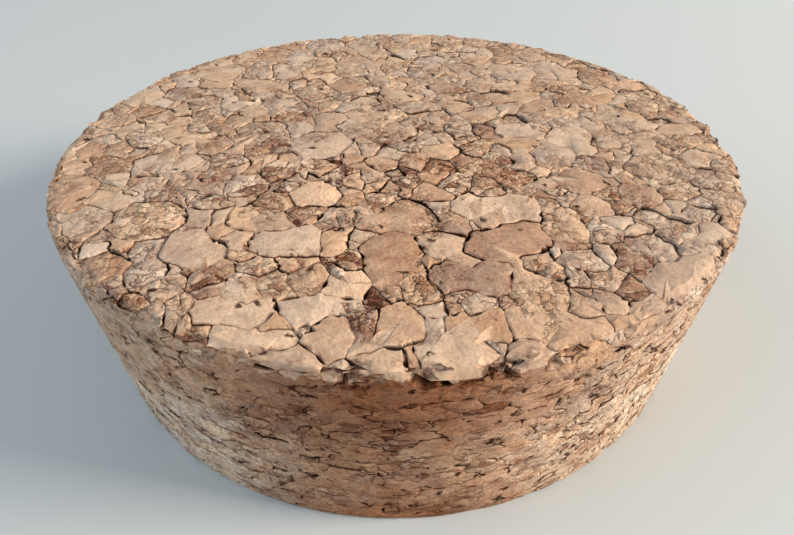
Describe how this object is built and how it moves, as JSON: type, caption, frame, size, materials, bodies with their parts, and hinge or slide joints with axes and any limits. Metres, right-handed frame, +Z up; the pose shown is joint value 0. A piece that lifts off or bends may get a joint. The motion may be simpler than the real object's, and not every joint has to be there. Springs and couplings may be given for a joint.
{
  "type": "cork stopper",
  "caption": "Wide, low tapered stopper of agglomerated cork that plugs the round mouth of a jar and stands on its narrow foot.",
  "frame": {"origin": "middle of the flat foot, on the surface that the stopper stands on", "axes": "+Z up along the axis of the taper, from the narrow foot to the wide top face; -Y towards the front, where the worst chips in the rim are; +X to the right"},
  "size_m": [0.0999, 0.0999, 0.03],
  "materials": {
    "cork": "sanded agglomerated cork, matt, pale pinkish tan with darker bark"
  },
  "bodies": {
    "root": {"cork_stopper": "cork"}
  },
  "joints": []
}
